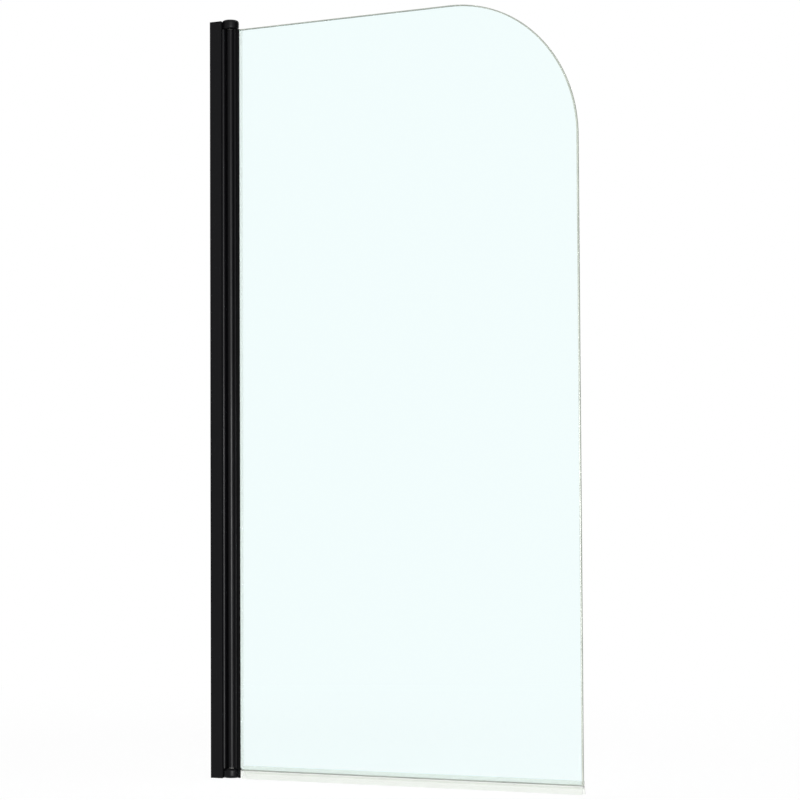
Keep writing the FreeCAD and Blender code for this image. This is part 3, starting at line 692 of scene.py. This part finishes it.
class BATHSCREEN_OT_glass(bpy.types.Operator):
    """Glass sheet: one round corner, one corner cut off, and a round polished edge all round"""
    bl_idname = "bathscreen.glass"
    bl_label = "Glass"

    def execute(self, context):
        sizes = context.scene.bath_screen_sizes
        near = sizes.air_gap
        low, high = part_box("glass_panel")
        sheet = add_block("polished_glass", low, high)
        select_edges(sheet, lambda point: point.x > high.x - near and point.z > high.z - near)
        bevel_selection(sizes.corner_radius, steps=64)
        select_edges(sheet, lambda point: point.x < low.x + near and point.z < low.z + near)
        bevel_selection(sizes.corner_cut, steps=1)
        soften(sheet, sizes.polished_edge, steps=6, sharper_than=math.radians(50))
        fit(sheet, "glass_panel", toughened_glass(), "screen")
        # The edge faces get the painted grey-green shade of the edge material.
        sheet.data.materials.append(polished_edge())
        flat = 0.999
        select_faces(sheet, lambda centre, normal: abs(normal.y) < flat)
        sheet.active_material_index = 1
        bpy.ops.object.material_slot_assign()
        bpy.ops.object.mode_set(mode="OBJECT")
        return {"FINISHED"}


class BATHSCREEN_OT_gaskets(bpy.types.Operator):
    """Clear strips that hold the glass in the slot and run on as flaps beside it, each with a black
    bead drawn in one piece with it, which closes the slot"""
    bl_idname = "bathscreen.gaskets"
    bl_label = "Glazing gaskets"

    def execute(self, context):
        sizes = context.scene.bath_screen_sizes
        pvc, black = clear_pvc(Z, colours().pvc, clearness=0.96), black_lip()
        near = sizes.air_gap
        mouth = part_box("hinge_profile")[1].x
        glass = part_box("glass_panel")[1]
        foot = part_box("hinge_profile")[0].z
        past_cap = 0.8 * MM
        cap_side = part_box("bottom_pivot_cap")[1].x + past_cap

        def beside_cap(centre, normal):
            return centre.x > cap_side and normal.z < -FACING

        for node, sign, run in (("front_glazing_gasket", -1, sizes.front_bead),
                                ("back_glazing_gasket", 1, sizes.back_bead)):
            low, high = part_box(node)
            inside = sign * (glass.y + near)
            outside = sign * (glass.y + sizes.flap_thickness)
            span = sorted((inside, outside))
            strip = add_block(f"clear_{node}", (low.x, span[0], foot), (high.x, span[1], high.z))
            split_at(strip, X, (mouth, cap_side))
            select_faces(strip, beside_cap)
            draw_out((0, 0, low.z - foot))
            select_edges(strip, lambda point: point.x > high.x - near
                         and abs(point.y) > abs(inside) + near)
            thinner = sizes.flap_tip - sizes.flap_thickness
            bpy.ops.transform.translate(value=(0, sign * thinner, 0))
            bpy.ops.object.mode_set(mode="OBJECT")
            fit(soften(strip, sizes.soft_edge, steps=3), node, pvc, "screen")
            span = sorted((outside + sign * near, outside + sign * sizes.bead_thickness))
            bead = add_block(f"black_bead_{node}", (low.x, span[0], foot),
                             (mouth, span[1], high.z))
            select_faces(bead, lambda centre, normal: normal.x > FACING)
            draw_out((run, 0, 0))
            if mouth + run > cap_side + near:
                split_at(bead, X, (cap_side,))
                select_faces(bead, beside_cap)
                draw_out((0, 0, low.z - foot))
            bpy.ops.object.mode_set(mode="OBJECT")
            soften(bead, 2 * sizes.soft_edge, steps=3).data.materials.append(black)
            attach(bead, "screen")
        return {"FINISHED"}


class BATHSCREEN_OT_bottom_seal(bpy.types.Operator):
    """Clear seal under the glass: a clip, two curved blades and a drip rib"""
    bl_idname = "bathscreen.bottom_seal"
    bl_label = "Bottom seal"

    def execute(self, context):
        sizes = context.scene.bath_screen_sizes
        low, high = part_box("bottom_seal")
        glass_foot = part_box("glass_panel")[0].z
        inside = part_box("glass_panel")[1].y + sizes.air_gap
        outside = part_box("glass_panel")[1].y + sizes.clip_wall
        root = outside - sizes.blade_thickness
        rib = sizes.drip_rib / 2
        web = glass_foot - sizes.clip_web
        seal = add_block("clear_bottom_seal", (low.x, -outside, web),
                         (high.x, outside, glass_foot - sizes.air_gap))
        split_at(seal, Y, (-inside, inside, -root, root, -rib, rib))
        select_faces(seal, lambda centre, normal: normal.z > FACING and abs(centre.y) > inside)
        draw_out((0, 0, high.z - glass_foot))
        select_faces(seal, lambda centre, normal: normal.z < -FACING and abs(centre.y) < rib)
        draw_out((0, 0, -sizes.drip_depth))
        steps, curve, slack = 5, 1.4, 0.1 * MM
        blade_side = root * 0.9
        for sign in (-1, 1):
            for number in range(steps):
                done, after = number / steps, (number + 1) / steps
                sideways = (high.y - outside) * (after ** curve - done ** curve)
                foot = web * (1 - done)
                select_faces(seal, lambda centre, normal: normal.z < -FACING
                             and sign * centre.y > blade_side and abs(centre.z - foot) < slack)
                draw_out((0, sign * sideways, -web / steps))
        bpy.ops.object.mode_set(mode="OBJECT")
        soften(seal, sizes.soft_edge, steps=2, sharper_than=math.radians(40))
        pvc = clear_pvc(X, colours().seal_pvc, clearness=0.94)
        fit(seal, "bottom_seal", pvc, "screen")
        return {"FINISHED"}


class BATHSCREEN_OT_stage(bpy.types.Operator):
    """Pale floor, soft light and the camera"""
    bl_idname = "bathscreen.stage"
    bl_label = "Stage"
    boards = {"right_flag": ((3.2, 4.6, 2.0), 8.6), "left_flag": ((-3.0, -0.4, 2.0), 4.2)}
    board_height = 4.0

    def execute(self, context):
        self.floor()
        self.sky(context)
        self.lamp(context)
        self.flags()
        self.camera(context)
        context.scene.view_settings.view_transform = "Standard"
        return {"FINISHED"}

    def floor(self):
        """A pale floor. Where it is seen it also glows, so that it is white: all of it far off, and
        near the screen only as much as leaves the shadow."""
        clear_selection()
        side, below = 24, 0.2 * MM
        bpy.ops.mesh.primitive_plane_add(size=side, location=(0, 0, -below))
        ground = settle("floor")
        material, tree = new_material("pale_floor")
        rays = add_node(tree, "ShaderNodeLightPath")
        shaded = add_node(tree, "ShaderNodeBsdfDiffuse", {"Color": (0.85, 0.85, 0.85, 1.0)})
        place = add_node(tree, "ShaderNodeTexCoord").outputs["Object"]
        far = add_node(tree, "ShaderNodeVectorMath", links={0: place}, operation="LENGTH")
        reach, distance = {"From Min": 1.0, "From Max": 3.0}, {"Value": far.outputs["Value"]}
        level = add_node(tree, "ShaderNodeMapRange", {**reach, "To Min": 1.115, "To Max": 1.0},
                         distance)
        share = add_node(tree, "ShaderNodeMapRange", {**reach, "To Min": 0.85, "To Max": 1.0},
                         distance)
        glow = add_node(tree, "ShaderNodeEmission", {"Color": WHITE},
                        {"Strength": level.outputs["Result"]})
        bright = add_node(tree, "ShaderNodeMixShader", links={
            "Fac": share.outputs["Result"], 1: shaded.outputs["BSDF"], 2: glow.outputs["Emission"]})
        seen = self.seen_directly(tree, rays)
        mixed = add_node(tree, "ShaderNodeMixShader", links={
            "Fac": seen, 1: shaded.outputs["BSDF"], 2: bright.outputs["Shader"]})
        add_node(tree, "ShaderNodeOutputMaterial", links={"Surface": mixed.outputs["Shader"]})
        ground.data.materials.append(material)

    def any_of(self, tree, rays, *kinds):
        """1 for rays of any of the kinds, else 0."""
        level = rays.outputs[kinds[0]]
        for kind in kinds[1:]:
            level = add_node(tree, "ShaderNodeMath", links={0: level, 1: rays.outputs[kind]},
                             operation="MAXIMUM").outputs[0]
        return level

    def seen_directly(self, tree, rays):
        """1 for rays from the camera, also by way of gloss or clear pieces."""
        return self.any_of(tree, rays, "Is Camera Ray", "Is Glossy Ray", "Is Transmission Ray")

    def sky(self, context):
        """Even light all round, which is white where it is seen."""
        world = bpy.data.worlds.new("soft_daylight")
        context.scene.world = world
        world.use_nodes = True
        tree = world.node_tree
        tree.nodes.clear()
        rays = add_node(tree, "ShaderNodeLightPath")
        light = add_node(tree, "ShaderNodeBackground", {
            "Color": WHITE, "Strength": context.scene.bath_screen_stage.daylight})
        white = add_node(tree, "ShaderNodeBackground", {"Color": WHITE, "Strength": 1.0})
        mixed = add_node(tree, "ShaderNodeMixShader", links={
            "Fac": self.seen_directly(tree, rays), 1: light.outputs["Background"],
            2: white.outputs["Background"]})
        add_node(tree, "ShaderNodeOutputWorld", links={"Surface": mixed.outputs["Shader"]})

    def lamp(self, context):
        """A soft box that faces the hinge, hidden from the camera, also through clear pieces."""
        stage = context.scene.bath_screen_stage
        data = bpy.data.lights.new("soft_box", "AREA")
        data.shape = "RECTANGLE"
        data.size, data.size_y = stage.lamp_width, stage.lamp_depth
        data.energy = stage.lamp_power
        made = bpy.data.objects.new("soft_box", data)
        context.scene.collection.objects.link(made)
        target = Vector((0, 0, stage.lamp_height))
        made.location = target + stage.lamp_distance * Vector((
            math.sin(stage.lamp_angle), -math.cos(stage.lamp_angle), 0))
        made.rotation_euler = (target - made.location).to_track_quat("-Z", "Y").to_euler()
        made.visible_camera = False
        made.visible_transmission = False

    def flags(self):
        """Matt black boards on both sides that only the satin black pieces mirror. The rays that
        clear pieces mirror sharply are singular, and pass them as if they weren't there."""
        material, tree = new_material("matt_black_board")
        matt = add_node(tree, "ShaderNodeBsdfDiffuse", {"Color": (0.004, 0.004, 0.004, 1.0)})
        rays = add_node(tree, "ShaderNodeLightPath")
        open_air = add_node(tree, "ShaderNodeBsdfTransparent")
        unseen = self.any_of(tree, rays, "Is Camera Ray", "Is Singular Ray", "Is Transmission Ray")
        mixed = add_node(tree, "ShaderNodeMixShader", links={
            "Fac": unseen, 1: matt.outputs["BSDF"], 2: open_air.outputs["BSDF"]})
        add_node(tree, "ShaderNodeOutputMaterial", links={"Surface": mixed.outputs["Shader"]})
        for name, (place, width) in self.boards.items():
            clear_selection()
            bpy.ops.mesh.primitive_plane_add(size=1, location=place,
                                             rotation=(0, math.radians(90), 0))
            bpy.context.active_object.scale = (self.board_height, width, 1)
            board = settle(name)
            board.data.materials.append(material)

    def camera(self, context):
        """The photo's camera: its place, turn and lens were fitted to the outline in the photo."""
        stage = context.scene.bath_screen_stage
        data = bpy.data.cameras.new("camera")
        data.sensor_width = 36.0
        data.lens = stage.lens
        made = bpy.data.objects.new("camera", data)
        context.scene.collection.objects.link(made)
        upright = math.radians(90)
        turn = (Matrix.Rotation(stage.camera_yaw, 4, "Z")
                @ Matrix.Rotation(upright + stage.camera_pitch, 4, "X")
                @ Matrix.Rotation(stage.camera_roll, 4, "Z"))
        made.matrix_world = Matrix.Translation(stage.camera_place) @ turn
        context.scene.camera = made


class BATHSCREEN_PT_panel(bpy.types.Panel):
    """Lists the pieces of the bath screen and the stage"""
    bl_idname = "BATHSCREEN_PT_panel"
    bl_label = "Bath Screen"
    bl_space_type = "VIEW_3D"
    bl_region_type = "UI"
    bl_category = "Bath Screen"

    def draw(self, context):
        for operator in OPERATORS:
            self.layout.operator(operator.bl_idname)
        for group in (context.scene.bath_screen_sizes, context.scene.bath_screen_colours,
                      context.scene.bath_screen_stage):
            box = self.layout.box()
            for name in group.__annotations__:
                box.prop(group, name)


OPERATORS = (BATHSCREEN_OT_extrusions, BATHSCREEN_OT_pivot_caps, BATHSCREEN_OT_screw_covers,
             BATHSCREEN_OT_fittings, BATHSCREEN_OT_rubber_strips, BATHSCREEN_OT_glass,
             BATHSCREEN_OT_gaskets, BATHSCREEN_OT_bottom_seal, BATHSCREEN_OT_stage)
GROUPS = {"bath_screen_sizes": BathScreenSizes, "bath_screen_colours": BathScreenColours,
          "bath_screen_stage": BathScreenStage}


def register():
    for item in (*GROUPS.values(), *OPERATORS, BATHSCREEN_PT_panel):
        bpy.utils.register_class(item)
    for name, group in GROUPS.items():
        setattr(bpy.types.Scene, name, PointerProperty(type=group))


def unregister():
    for name in GROUPS:
        delattr(bpy.types.Scene, name)
    for item in reversed((*GROUPS.values(), *OPERATORS, BATHSCREEN_PT_panel)):
        bpy.utils.unregister_class(item)


def main():
    """Makes every piece and the stage."""
    register()
    bpy.ops.bathscreen.extrusions()
    bpy.ops.bathscreen.pivot_caps()
    bpy.ops.bathscreen.screw_covers()
    bpy.ops.bathscreen.fittings()
    bpy.ops.bathscreen.rubber_strips()
    bpy.ops.bathscreen.glass()
    bpy.ops.bathscreen.gaskets()
    bpy.ops.bathscreen.bottom_seal()
    bpy.ops.bathscreen.stage()


if __name__ == "__main__":
    main()
